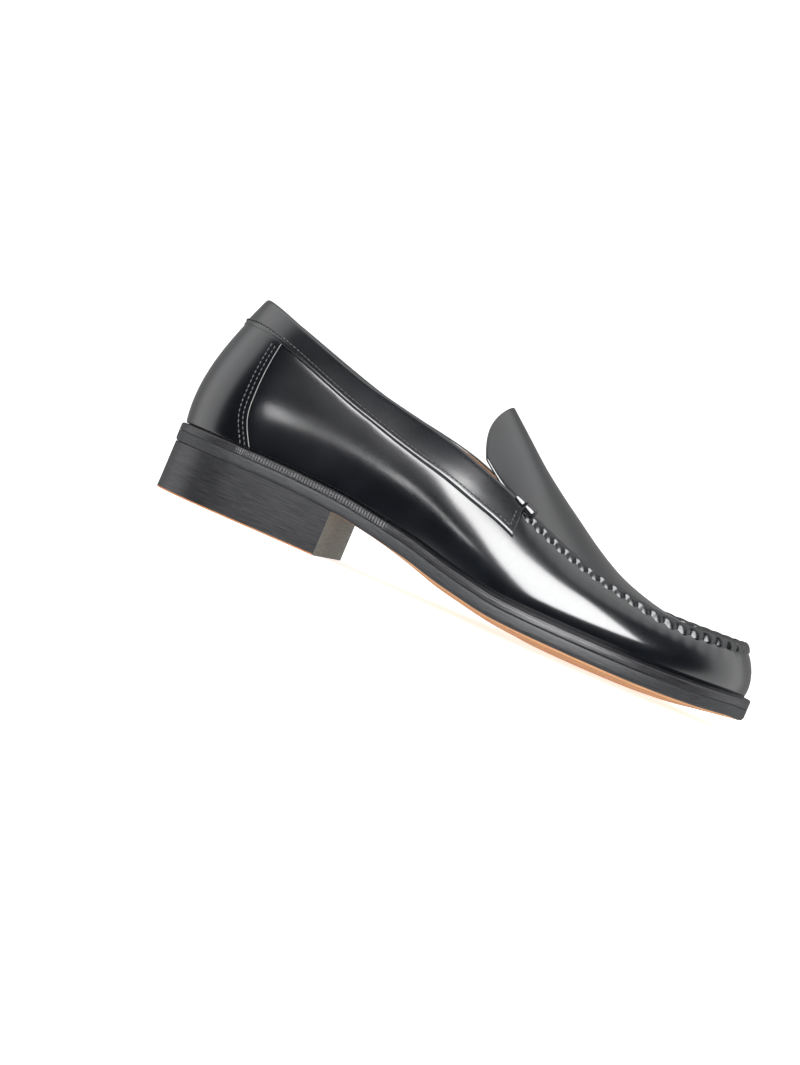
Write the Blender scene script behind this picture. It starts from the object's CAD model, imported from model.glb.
"""Looks of a slip-on leather loafer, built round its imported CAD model.

Metres. +X runs to the toe, +Y to the inner side of the foot, +Z up, the ground is z = 0. A place
round the shoe is a station: 0 at the back of the heel, 13 at the tip of the toe, 26 at the back
again, the outer side first. A place up the wall is a rise: 0 on the welt, 1 at the mouth or at the
seam round the apron.
"""
import logging
import math
from collections.abc import Callable, Sequence
from dataclasses import dataclass
from enum import Enum
from functools import lru_cache

import bmesh
import bpy
import numpy as np
from mathutils import Matrix, Vector


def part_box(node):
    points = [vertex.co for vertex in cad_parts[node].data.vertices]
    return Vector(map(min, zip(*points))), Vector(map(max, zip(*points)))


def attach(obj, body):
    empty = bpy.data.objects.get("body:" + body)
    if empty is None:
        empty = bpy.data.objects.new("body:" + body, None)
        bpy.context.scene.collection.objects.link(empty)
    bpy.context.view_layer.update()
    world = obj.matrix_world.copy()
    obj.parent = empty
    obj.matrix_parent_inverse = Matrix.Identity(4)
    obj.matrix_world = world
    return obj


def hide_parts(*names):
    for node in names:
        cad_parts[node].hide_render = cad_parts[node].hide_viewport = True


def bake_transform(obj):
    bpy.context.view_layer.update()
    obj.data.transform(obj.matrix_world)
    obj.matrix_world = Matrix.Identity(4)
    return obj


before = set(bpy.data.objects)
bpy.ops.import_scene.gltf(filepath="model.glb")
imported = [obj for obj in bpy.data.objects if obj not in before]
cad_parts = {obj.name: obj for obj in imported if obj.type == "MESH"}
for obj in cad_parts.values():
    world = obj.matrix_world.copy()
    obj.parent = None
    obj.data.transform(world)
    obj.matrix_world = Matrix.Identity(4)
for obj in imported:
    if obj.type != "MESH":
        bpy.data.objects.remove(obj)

log = logging.getLogger("loafer")
Socket = bpy.types.NodeSocket
MM = 0.001
# A wave texture turns its phase by this much for each unit of scale.
WAVE_TURN = 20.0


class Body(Enum):
    """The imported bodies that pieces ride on."""

    SHOE = "shoe"
    TONGUE = "tongue"


class Slot(Enum):
    """The record's material slots that new pieces take their finish from."""

    UPPER = "polished_leather"
    LINING = "lining_leather"
    SOLE = "sole_leather"
    WELT = "welt_leather"
    HEEL = "heel_leather"
    TOP_PIECE = "top_piece_leather"
    THREAD = "thread"


# ---------------------------------------------------------------------------- form of the shoe
class Table:
    """Smooth curve through (place, value) pairs, level past its ends."""

    def __init__(self, pairs: Sequence[tuple[float, float]]) -> None:
        """Keep the pairs.

        Args:
            pairs: Places in rising order, with their values.
        """
        self.at = [p[0] for p in pairs]
        self.value = [p[1] for p in pairs]
        last = len(pairs) - 1
        self.slope = []
        for k in range(last + 1):
            low, high = max(k - 1, 0), min(k + 1, last)
            gain = self.value[high] - self.value[low]
            self.slope.append(gain / (self.at[high] - self.at[low]))

    def __call__(self, place: float) -> float:
        """Value of the curve at a place.

        Args:
            place: Where the curve is read.

        Returns:
            The value.
        """
        if place <= self.at[0]:
            return self.value[0]
        if place >= self.at[-1]:
            return self.value[-1]
        i = int(np.searchsorted(self.at, place, side="right")) - 1
        span = self.at[i + 1] - self.at[i]
        t = (place - self.at[i]) / span
        start = (1 + 2 * t) * (1 - t) ** 2 * self.value[i] + t * (1 - t) ** 2 * span * self.slope[i]
        finish = t * t * (3 - 2 * t) * self.value[i + 1]
        finish += t * t * (t - 1) * span * self.slope[i + 1]
        return start + finish


class Ring:
    """Closed curve through one point for each station, smooth in slope and bend."""

    def __init__(self, points: Sequence[Sequence[float]], knots: Sequence[float]) -> None:
        """Work out the bend of the curve at each station.

        Args:
            points: One point for each station.
            knots: Parameter of each station, and 1 at the end.
        """
        p = np.array(points, float)
        n = len(p)
        self.knots = np.array(knots, float)
        h = np.diff(self.knots)
        rows = np.zeros((n, n))
        right = np.zeros_like(p)
        for i in range(n):
            before, after = h[i - 1], h[i]
            rows[i, i - 1] += before
            rows[i, i] += 2 * (before + after)
            rows[i, (i + 1) % n] += after
            right[i] = 6 * ((p[(i + 1) % n] - p[i]) / after - (p[i] - p[i - 1]) / before)
        self.points = p
        self.bend = np.linalg.solve(rows, right)

    def __call__(self, station: float) -> np.ndarray:
        """Point of the curve at a station, whole or not, past either end.

        Args:
            station: Place round the ring.

        Returns:
            The point.
        """
        n = len(self.points)
        rest = station % n
        i = min(int(rest), n - 1)
        j = (i + 1) % n
        h = self.knots[i + 1] - self.knots[i]
        b = rest - i
        a = 1 - b
        bend = ((a ** 3 - a) * self.bend[i] + (b ** 3 - b) * self.bend[j]) * h * h / 6
        return a * self.points[i] + b * self.points[j] + bend


@dataclass(eq=False)
class Form:
    """The shape that every piece of the shoe is drawn on.

    The tables are the same as the CAD model's: x as shares of the length, y as shares of half the
    width, heights of the wall as shares of its height at the back.
    """

    length: float = 295 * MM
    width: float = 103 * MM
    heel_height: float = 23.5 * MM
    back_rise: float = 69 * MM
    sole_thick: float = 5.4 * MM
    welt_thick: float = 3.9 * MM
    glue: float = 0.08 * MM
    crown: float = 5.4 * MM
    toe_spring: float = 6.8 * MM
    collar_height: float = 15.5 * MM
    upper_thick: float = 1.4 * MM
    edge_gap: float = 0.5 * MM
    seam_sink: float = 3.4 * MM
    belly_skew: float = 0.6
    mouth_lean: float = 3.2 * MM
    lean_span: tuple = (0.5, 6.1)
    lean_fade: float = 1.5
    arch_power: float = 1.85
    throat: float = 7.0
    root: int = 3
    sole_edge: tuple = (
        (0.000, 0.00), (0.016, -0.38), (0.068, -0.62), (0.153, -0.685), (0.271, -0.68),
        (0.390, -0.73), (0.492, -0.845), (0.583, -0.955), (0.671, -1.00), (0.763, -0.965),
        (0.847, -0.83), (0.922, -0.60), (0.978, -0.29), (1.000, 0.08), (0.983, 0.40), (0.936, 0.66),
        (0.858, 0.875), (0.766, 0.985), (0.692, 0.995), (0.593, 0.885), (0.498, 0.72),
        (0.393, 0.625), (0.271, 0.64), (0.153, 0.685), (0.068, 0.62), (0.016, 0.38),
    )
    wall_top: tuple = (
        (0.054, 0.00, 1.000), (0.066, -0.28, 0.995), (0.102, -0.48, 0.955), (0.168, -0.575, 0.862),
        (0.285, -0.62, 0.728), (0.394, -0.64, 0.695), (0.488, -0.665, 0.655), (0.571, -0.69, 0.595),
        (0.664, -0.72, 0.466), (0.754, -0.725, 0.378), (0.834, -0.67, 0.331), (0.900, -0.51, 0.336),
        (0.943, -0.28, 0.341), (0.962, 0.05, 0.350), (0.949, 0.33, 0.352), (0.910, 0.545, 0.358),
        (0.839, 0.70, 0.362), (0.754, 0.755, 0.402), (0.668, 0.755, 0.487), (0.571, 0.715, 0.620),
        (0.488, 0.69, 0.694), (0.394, 0.655, 0.722), (0.285, 0.63, 0.748), (0.168, 0.59, 0.872),
        (0.102, 0.485, 0.957), (0.066, 0.28, 0.995),
    )
    bulge_mm: tuple = (5.5, 4.5, 3.5, 2.6, 2.6, 3.6, 4.6, 5.0, 5.0, 4.6, 3.8, 3.2, 2.8, 2.6,
                       2.8, 3.2, 3.8, 4.6, 5.0, 4.6, 3.6, 2.8, 2.4, 2.6, 3.5, 4.5)
    ledge_mm: tuple = ((0.0, 2.6), (0.3, 2.4), (0.45, 3.2), (0.7, 4.4), (0.9, 4.2), (1.0, 3.6))
    edge_drop: tuple = (
        (0.0, 1.0), (0.2, 0.98), (0.303, 0.911), (0.352, 0.834), (0.407, 0.723), (0.447, 0.63),
        (0.495, 0.489), (0.539, 0.387), (0.583, 0.298), (0.624, 0.264), (0.705, 0.238),
        (0.8, 0.225), (1.0, 0.225),
    )
    spring_rise: tuple = ((0.0, 0.0), (0.8, 0.0), (0.87, 0.05), (0.93, 0.18), (1.0, 0.42))
    crown_share: tuple = ((0.0, 0.0), (0.32, 0.0), (0.475, 0.69), (0.57, 0.8), (0.617, 0.85),
                          (0.66, 0.97), (0.72, 1.0), (0.8, 0.95), (0.85, 0.85), (0.89, 0.66),
                          (0.925, 0.44), (1.0, 0.15))
    collar_share: tuple = (
        (0, 1.08), (1, 0.98), (2, 0.87), (3, 0.83), (4, 0.88), (5, 1.05), (6, 1.0), (8, 0.96),
    )
    counter_edge: tuple = ((0.0, 2.93), (0.25, 2.63), (0.5, 2.53), (0.75, 2.48), (1.0, 2.47))
    apron_middle: tuple = ((0.485, 1.130), (0.530, 1.010), (0.568, 0.905), (0.607, 0.802),
                           (0.651, 0.685), (0.698, 0.560), (0.746, 0.455), (0.797, 0.384),
                           (0.847, 0.340), (0.900, 0.315), (0.9485, 0.302))
    tongue_side: tuple = ((0.490, 0.545, 0.715), (0.530, 0.575, 0.625), (0.568, 0.595, 0.583))
    crest_back: float = 4.6 * MM
    crest_lines: float = 1.3
    crest_power: float = 1.7
    sewn_at: tuple = (7.35, 7.88, 8.46, 9.03, 9.60, 10.16, 10.75, 11.40)

    def __post_init__(self) -> None:
        """Set up the curves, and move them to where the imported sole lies."""
        half = self.width / 2
        self.back = len(self.sole_edge)
        plan = [(a * self.length, b * half) for a, b in self.sole_edge]
        steps = [math.dist(plan[i], plan[(i + 1) % self.back]) for i in range(self.back)]
        knots = np.concatenate([[0.0], np.cumsum(steps)]) / sum(steps)
        self.edge_ring = Ring([(x, y, 0) for x, y in plan], knots)
        tops = [(a * self.length, b * half, c * self.back_rise) for a, b, c in self.wall_top]
        self.top_ring = Ring(tops, knots)
        self.swell_ring = Ring([(b * MM,) for b in self.bulge_mm], knots)
        self.drop, self.spring = Table(self.edge_drop), Table(self.spring_rise)
        self.crowned, self.ledge = Table(self.crown_share), Table(self.ledge_mm)
        self.half_table = Table([(a, -b) for a, b in self.sole_edge[:self.back // 2]])
        self.collar, self.counter = Table(self.collar_share), Table(self.counter_edge)
        spots = np.array([self.edge_ring(s) for s in np.linspace(0, self.back, 1000)])
        low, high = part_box("outsole")
        middle = (np.array(low) + np.array(high)) / 2 - (spots.min(0) + spots.max(0)) / 2
        self.shift = np.array([middle[0], middle[1], 0.0])
        self.lines = self.apron_lines()

    # -- the sole
    def edge_bottom(self, x: float) -> float:
        """Height of the sole's lower edge, at x counted from the back of the heel."""
        share = x / self.length
        return self.heel_height * self.drop(share) + self.toe_spring * self.spring(share)

    def underside(self, x: float, y: float) -> float:
        """Height of the sole's underside, which bellies down between its edges.

        Args:
            x: Along the shoe from the back of the heel.
            y: Across it.

        Returns:
            The height.
        """
        half = max(self.half_table(x / self.length), 0.3) * self.width / 2
        spread = min(abs(y) / half, 1.0)
        return self.edge_bottom(x) - self.crown * self.crowned(x / self.length) * (1 - spread ** 2)

    def welt_top(self, x: float) -> float:
        """Height of the top of the welt."""
        return self.edge_bottom(x) + self.sole_thick + self.glue + self.welt_thick

    @lru_cache(maxsize=None)
    def outward(self, station: float) -> np.ndarray:
        """Level direction out of the shoe at a station.

        Args:
            station: Place round the shoe.

        Returns:
            A unit vector.
        """
        step = 0.05
        along = self.edge_ring(station + step) - self.edge_ring(station - step)
        along = along / np.linalg.norm(along)
        return np.array([along[1], -along[0], 0.0])

    def sole_point(self, station: float, inset: float = 0.0) -> np.ndarray:
        """Plan point of the sole's edge, moved in by inset."""
        return self.edge_ring(station) - self.outward(station) * inset

    # -- the wall
    @lru_cache(maxsize=None)
    def foot(self, station: float) -> np.ndarray:
        """Foot of the wall's outer face, on the welt.

        Args:
            station: Place round the shoe.

        Returns:
            The point.
        """
        edge = self.edge_ring(station)
        point = self.sole_point(station, self.ledge(edge[0] / self.length) * MM)
        return np.array([point[0], point[1], self.welt_top(point[0]) + self.glue])

    @lru_cache(maxsize=None)
    def head(self, station: float) -> np.ndarray:
        """Top of the wall's outer face."""
        top = self.top_ring(station)
        return np.array([top[0], top[1], top[2] + self.welt_top(top[0])])

    def face(self, station: float, rise: float) -> np.ndarray:
        """Point of the wall's outer face.

        Args:
            station: Place round the shoe.
            rise: Place up the wall.

        Returns:
            The point.
        """
        foot, head = self.foot(station), self.head(station)
        belly = 4 * rise * (1 - rise) * (1 + self.belly_skew * (0.5 - rise))
        swell = self.outward(station) * belly * self.swell_ring(station)[0]
        return foot + (head - foot) * rise + swell

    def leaned(self, station: float, rise: float) -> float:
        """How far the leather leans in over the foot, above the collar band's lower edge.

        Args:
            station: Place round the shoe.
            rise: Place up the wall.

        Returns:
            The length, nothing at the back and at the throat.
        """
        low = self.collar_edge(station)
        if rise <= low:
            return 0.0
        near = self.near(station)
        first, last = self.lean_span
        ends = min(max(near - first, 0.0) / self.lean_fade,
                   max(last - near, 0.0) / self.lean_fade, 1.0)
        return self.mouth_lean * ends * ends * (3 - 2 * ends) * (rise - low) / (1 - low)

    def wall(self, station: float, rise: float, out: float = 0.0) -> np.ndarray:
        """Point of the wall, out from its outer face along the surface's own normal.

        Args:
            station: Place round the shoe.
            rise: Place up the wall.
            out: How far out of the leather's face.

        Returns:
            The point.
        """
        step = 0.02
        point = self.face(station, rise)
        out = out - self.leaned(station, rise)
        if out == 0.0:
            return point
        along = self.face(station + step, rise) - self.face(station - step, rise)
        up = self.face(station, rise + step) - self.face(station, rise - step)
        normal = np.cross(along, up)
        return point + normal / np.linalg.norm(normal) * out

    def rise_by(self, station: float, length: float) -> float:
        """Share of the wall's height that a length up it makes."""
        return length / (self.head(station)[2] - self.foot(station)[2])

    def near(self, station: float) -> float:
        """How far a station is from the back of the heel, on either side."""
        rest = station % self.back
        return min(rest, self.back - rest)

    @lru_cache(maxsize=None)
    def collar_edge(self, station: float) -> float:
        """Rise at which the collar band's lower edge lies."""
        return 1 - self.rise_by(station, self.collar_height * self.collar(self.near(station)))

    # -- the apron and tongue
    def apron_lines(self) -> list[np.ndarray]:
        """Middle, mean side and half span of each line of the tongue and apron.

        Returns:
            Curves through the lines, one for each of the nine coordinates.
        """
        rows = []
        for line, (along, height) in enumerate(self.apron_middle):
            if line < self.root:
                part, across, top = self.tongue_side[line]
                x = part * self.length
                z = top * self.back_rise + self.welt_top(x)
                outer = np.array([x, -across * self.width / 2, z])
                inner = outer * (1, -1, 1)
            else:
                place = self.sewn_at[line - self.root]
                sunk = -self.upper_thick - self.edge_gap
                outer, inner = (self.wall(s, 1 - self.rise_by(s, self.seam_sink), sunk)
                                for s in (place, self.back - place))
            x = along * self.length
            mean, half = (outer + inner) / 2, (inner - outer) / 2
            middle = np.array([x, mean[1], height * self.back_rise + self.welt_top(x)])
            rows.append(np.concatenate([middle, mean, half]))
        table = np.array(rows)
        return [Table(list(enumerate(table[:, k]))) for k in range(table.shape[1])]

    def apron(self, line: float, share: float) -> np.ndarray:
        """Point of the upper face of the apron or tongue; share runs from -1, outer side, to 1.

        Args:
            line: Which line across, 0 at the tongue's tip.
            share: Place along it, -1 on the outer side to 1.

        Returns:
            The point.
        """
        at = [table(line) for table in self.lines]
        middle, mean, half = np.array(at[:3]), np.array(at[3:6]), np.array(at[6:])
        bend = abs(share) ** self.arch_power
        arc = math.sin(math.pi * min(abs(share), 1) ** self.crest_power)
        crest = self.crest_back * max(1 - line / self.crest_lines, 0) * arc
        x = middle[0] + (mean[0] - middle[0]) * share * share + half[0] * share - crest
        y = mean[1] + half[1] * share
        z = middle[2] + (mean[2] - middle[2]) * bend + half[2] * share
        return np.array([x, y, z])

    def apron_under(self, line: float, share: float, drop: float) -> np.ndarray:
        """Point of the apron or tongue, drop below its upper face.

        Args:
            line: Which line across, 0 at the tongue's tip.
            share: Place along it, -1 on the outer side to 1.
            drop: How far below the upper face.

        Returns:
            The point.
        """
        step = 0.02
        end = len(self.apron_middle) - 1
        along = self.apron(min(line + step, end), share) - self.apron(max(line - step, 0), share)
        across = self.apron(line, min(share + step, 1)) - self.apron(line, max(share - step, -1))
        normal = np.cross(along, across)
        return self.apron(line, share) - normal / np.linalg.norm(normal) * drop

    def place(self, point: np.ndarray) -> Vector:
        """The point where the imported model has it."""
        return Vector(point + self.shift)


# ---------------------------------------------------------------------------- mesh helpers
def finish_mesh(name: str, bm: bmesh.types.BMesh, smooth: bool = True) -> bpy.types.Object:
    """Turn a bmesh into an object of the scene.

    Args:
        name: The piece's name.
        bm: The mesh, which is freed.
        smooth: Whether its faces are shaded smooth.

    Returns:
        The new object, at the origin.
    """
    mesh = bpy.data.meshes.new(name)
    for face in bm.faces:
        face.smooth = smooth
    bm.to_mesh(mesh)
    bm.free()
    piece = bpy.data.objects.new(name, mesh)
    bpy.context.scene.collection.objects.link(piece)
    return piece


def sheet_mesh(columns: int, rows: int,
               place: Callable[[float, float], Vector]) -> bmesh.types.BMesh:
    """Sheet of quads bent to a surface, with a UV map of its two shares.

    Args:
        columns: Faces along the first share.
        rows: Faces along the second share.
        place: Point of the surface for two shares from 0 to 1.

    Returns:
        The mesh.
    """
    bm = bmesh.new()
    bm.loops.layers.uv.new("UVMap")
    bmesh.ops.create_grid(bm, x_segments=columns, y_segments=rows, size=0.5, calc_uvs=True)
    for vert in bm.verts:
        vert.co = place(vert.co.x + 0.5, vert.co.y + 0.5)
    return bm


def thicken(piece: bpy.types.Object, thickness: float, levels: int) -> None:
    """Give a sheet its thickness, behind its face, and round its edges.

    Args:
        piece: The sheet.
        thickness: How thick it gets.
        levels: Subdivision levels.
    """
    solid = piece.modifiers.new("thickness", "SOLIDIFY")
    solid.thickness = thickness
    solid.offset = -1
    solid.use_even_offset = True
    subdivide(piece, levels)


def subdivide(piece: bpy.types.Object, levels: int) -> None:
    """Smooth a piece by subdivision.

    Args:
        piece: The piece.
        levels: Subdivision levels.
    """
    surface = piece.modifiers.new("smooth", "SUBSURF")
    surface.levels = levels
    surface.render_levels = levels


def stitch(bm: bmesh.types.BMesh, start: Vector, end: Vector, out: Vector, radius: float) -> None:
    """Lay one stitch: a short thread, fat in the middle, whose ends dive into the leather.

    Args:
        bm: Mesh that gets the stitch.
        start: One hole.
        end: The other hole.
        out: Direction out of the leather.
        radius: Of the thread.
    """
    along = end - start
    axis = along.normalized()
    side = axis.cross(out).normalized()
    up = side.cross(axis).normalized()
    reach = 0.56
    turn = Matrix((axis * along.length * reach, side * radius, up * radius)).transposed().to_4x4()
    turn.translation = (start + end) / 2
    bmesh.ops.create_uvsphere(bm, u_segments=8, v_segments=6, radius=1.0,
                              matrix=turn @ Matrix.Rotation(math.pi / 2, 4, "Y"))


def fit(piece: bpy.types.Object, body: Body, slot: Slot, finish: bpy.types.Material,
        nodes: Sequence[str] = ()) -> bpy.types.Object:
    """Give a finished piece its body, slot, material and the nodes that it stands for.

    Args:
        piece: The piece.
        body: The body that it rides on.
        slot: The record's slot.
        finish: Its material.
        nodes: CAD nodes that it replaces.

    Returns:
        The piece.
    """
    piece.data.materials.clear()
    piece.data.materials.append(finish)
    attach(piece, body.value)
    if nodes:
        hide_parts(*nodes)
    log.info("%s: %d faces", piece.name, len(piece.data.polygons))
    return piece


# ---------------------------------------------------------------------------- finishes
class Graph:
    """A material's nodes, with short calls to add and join them."""

    def __init__(self, name: str) -> None:
        """Start a material with its Principled shader.

        Args:
            name: The material's name.
        """
        self.material = bpy.data.materials.new(name)
        self.material.use_nodes = True
        self.nodes = self.material.node_tree.nodes
        self.links = self.material.node_tree.links
        self.shader = self.nodes["Principled BSDF"]
        self.where = self.nodes.new("ShaderNodeTexCoord")

    def set(self, **values: float | tuple) -> None:
        """Set the shader's own sockets, with _ for a space in their names."""
        for key, value in values.items():
            self.shader.inputs[key.replace("_", " ")].default_value = value

    def mapped(self, scale: tuple[float, float, float], source: str = "Object") -> Socket:
        """Coordinates stretched by a scale.

        Args:
            scale: Along each axis.
            source: Which coordinates.

        Returns:
            The stretched coordinates.
        """
        node = self.nodes.new("ShaderNodeMapping")
        node.inputs["Scale"].default_value = scale
        self.links.new(self.where.outputs[source], node.inputs["Vector"])
        return node.outputs["Vector"]

    def texture(self, kind: str, vector: Socket | None, **values: float) -> bpy.types.Node:
        """Texture node on given coordinates, or on the Object's own, with its sockets set.

        Args:
            kind: Blender's name of the node.
            vector: Coordinates, or None for the Object's own.
            values: The node's sockets.

        Returns:
            The node.
        """
        node = self.nodes.new(kind)
        for key, value in values.items():
            node.inputs[key].default_value = value
        self.links.new(vector or self.where.outputs["Object"], node.inputs["Vector"])
        return node

    def noise(self, scale: float, detail: float = 3.0, rough: float = 0.5,
              vector: Socket | None = None) -> Socket:
        """Clouded values from 0 to 1.

        Args:
            scale: Clouds in a metre.
            detail: Octaves.
            rough: How strong the fine ones are.
            vector: Coordinates, or None for the Object's own.

        Returns:
            The values.
        """
        return self.texture("ShaderNodeTexNoise", vector, Scale=scale, Detail=detail,
                            Roughness=rough).outputs["Fac"]

    def cells(self, scale: float, vector: Socket | None = None) -> Socket:
        """Distance to the nearest cell, a grain of small pebbles."""
        return self.texture("ShaderNodeTexVoronoi", vector, Scale=scale).outputs["Distance"]

    def waves(self, scale: float, direction: str, distort: float,
              vector: Socket | None = None) -> Socket:
        """Even bands along one direction.

        Args:
            scale: How close the bands lie.
            direction: The axis that they cross.
            distort: How much they waver.
            vector: Coordinates, or None for the Object's own.

        Returns:
            The bands, from 0 to 1.
        """
        node = self.texture("ShaderNodeTexWave", vector, Scale=scale, Distortion=distort,
                            Detail=2.0)
        node.bands_direction = direction
        return node.outputs["Fac"]

    def ramp(self, value: Socket, stops: Sequence[tuple[float, tuple]]) -> Socket:
        """Colour of a value through a ramp.

        Args:
            value: The output that is looked up.
            stops: Places from 0 to 1 with their colours.

        Returns:
            The ramp's colour output.
        """
        node = self.nodes.new("ShaderNodeValToRGB")
        ramp = node.color_ramp
        while len(ramp.elements) < len(stops):
            ramp.elements.new(0.5)
        for element, (at, colour) in zip(ramp.elements, stops):
            element.position = at
            element.color = (*colour, 1.0)
        self.links.new(value, node.inputs["Fac"])
        return node.outputs["Color"]

    def span(self, value: Socket, low: float, high: float, start: float = 0.0,
             end: float = 1.0) -> Socket:
        """A value moved from one span to another, held at its ends.

        Args:
            value: The output that is moved.
            low: Where start goes.
            high: Where end goes.
            start: Its lowest value.
            end: Its highest value.

        Returns:
            The moved value.
        """
        node = self.nodes.new("ShaderNodeMapRange")
        sockets = ("From Min", "From Max", "To Min", "To Max")
        for key, number in zip(sockets, (start, end, low, high)):
            node.inputs[key].default_value = number
        self.links.new(value, node.inputs["Value"])
        return node.outputs["Result"]

    def times(self, first: Socket, second: Socket) -> Socket:
        """Product of two values.

        Args:
            first: One value.
            second: The other.

        Returns:
            Their product.
        """
        node = self.nodes.new("ShaderNodeMath")
        node.operation = "MULTIPLY"
        self.links.new(first, node.inputs[0])
        self.links.new(second, node.inputs[1])
        return node.outputs[0]

    def mix(self, share: Socket, first: Socket | tuple, second: Socket | tuple) -> Socket:
        """Blend of two colours by a share.

        Args:
            share: How much of the second colour.
            first: Colour at 0.
            second: Colour at 1.

        Returns:
            The blended colour.
        """
        node = self.nodes.new("ShaderNodeMix")
        node.data_type = "RGBA"
        self.links.new(share, node.inputs[0])
        for socket, colour in ((node.inputs[6], first), (node.inputs[7], second)):
            if isinstance(colour, tuple):
                socket.default_value = (*colour, 1.0)
            else:
                self.links.new(colour, socket)
        return node.outputs[2]

    def part(self, axis: str, source: str = "Object") -> Socket:
        """One coordinate.

        Args:
            axis: X, Y or Z.
            source: Which coordinates.

        Returns:
            The coordinate.
        """
        node = self.nodes.new("ShaderNodeSeparateXYZ")
        self.links.new(self.where.outputs[source], node.inputs["Vector"])
        return node.outputs[axis]

    def colour(self, output: Socket) -> None:
        """Join a colour to the shader."""
        self.links.new(output, self.shader.inputs["Base Color"])

    def roughness(self, output: Socket) -> None:
        """Join a roughness to the shader."""
        self.links.new(output, self.shader.inputs["Roughness"])

    def bumps(self, *layers: tuple[Socket, float, float]) -> None:
        """Stack height outputs into the shader's normal.

        Args:
            layers: Each an output, a strength and a depth in metres.
        """
        normal = None
        for height, strength, depth in layers:
            node = self.nodes.new("ShaderNodeBump")
            node.inputs["Strength"].default_value = strength
            node.inputs["Distance"].default_value = depth
            self.links.new(height, node.inputs["Height"])
            if normal is not None:
                self.links.new(normal, node.inputs["Normal"])
            normal = node.outputs["Normal"]
        self.links.new(normal, self.shader.inputs["Normal"])
        if self.shader.inputs["Coat Weight"].default_value > 0:
            self.links.new(normal, self.shader.inputs["Coat Normal"])


@dataclass(frozen=True)
class PolishedLeather:
    """Black box leather, glazed to a high shine over a fine grain, with soft pulls in its face."""

    name: str = "polished_black_leather"
    dark: tuple = (0.0022, 0.0028, 0.0040)
    light: tuple = (0.0052, 0.0066, 0.0092)
    glaze: float = 1.0
    haze: float = 0.15

    def make(self) -> bpy.types.Material:
        """Build the material.

        Returns:
            The material.
        """
        g = Graph(self.name)
        g.set(Coat_Weight=self.glaze, Coat_Roughness=self.haze, Coat_IOR=1.5, IOR=1.5,
              Specular_IOR_Level=0.07)
        g.colour(g.ramp(g.noise(30.0, 3.0), [(0.3, self.dark), (0.75, self.light)]))
        g.roughness(g.span(g.noise(60.0, 2.0), 0.24, 0.34, 0.3, 0.7))
        g.bumps((g.noise(16.0, 0.0), 0.22, 1.6 * MM), (g.noise(420.0, 2.0), 0.05, 0.10 * MM),
                (g.cells(2800.0), 0.10, 0.030 * MM), (g.noise(1600.0, 2.0), 0.14, 0.030 * MM))
        return g.material


@dataclass(frozen=True)
class TanLeather:
    """Undyed tan leather: the lining, the sock and the suede back of the tongue."""

    name: str
    dark: tuple = (0.25, 0.118, 0.048)
    light: tuple = (0.42, 0.215, 0.095)
    rough: float = 0.62
    nap: float = 0.2

    def make(self) -> bpy.types.Material:
        """Build the material.

        Returns:
            The material.
        """
        g = Graph(self.name)
        g.set(Sheen_Weight=self.nap, Sheen_Roughness=0.5, Specular_IOR_Level=0.2)
        g.colour(g.ramp(g.noise(90.0, 5.0, 0.6), [(0.3, self.dark), (0.72, self.light)]))
        g.roughness(g.span(g.noise(400.0), self.rough - 0.08, self.rough + 0.12, 0.3, 0.7))
        g.bumps((g.cells(1500.0), 0.25, 0.10 * MM), (g.noise(3000.0, 3.0), 0.3, 0.08 * MM))
        return g.material


@dataclass(frozen=True)
class SoleLeather:
    """Outsole: the edge stained black and waxed, the underside natural tan with a burnished rim."""

    name: str = "sole_leather"
    edge_share: float = 0.60
    blur: float = 0.006
    round_length: float = 680.0

    def make(self) -> bpy.types.Material:
        """Build the material: the second UV share tells the edge from the underside.

        Returns:
            The material.
        """
        g = Graph(self.name)
        g.set(Specular_IOR_Level=0.22)
        across = g.part("Y", "UV")
        fibre = g.noise(1.0, 5.0, 0.6, g.mapped((60.0, 260.0, 260.0)))
        tan = g.ramp(fibre, [(0.3, (0.45, 0.225, 0.100)), (0.7, (0.60, 0.335, 0.168))])
        grain = g.noise(1.0, 4.0, 0.65, g.mapped((self.round_length * 0.16, 75.0, 1.0), "UV"))
        black = g.ramp(grain, [(0.32, (0.006, 0.006, 0.007)), (0.74, (0.040, 0.042, 0.046))])
        on_edge = g.span(across, 0.0, 1.0, self.edge_share - self.blur, self.edge_share + self.blur)
        g.colour(g.mix(on_edge, black, tan))
        g.roughness(g.span(grain, 0.34, 0.56, 0.3, 0.7))
        g.bumps((grain, 0.55, 0.20 * MM), (g.noise(1800.0, 3.0), 0.25, 0.05 * MM))
        return g.material


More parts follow.
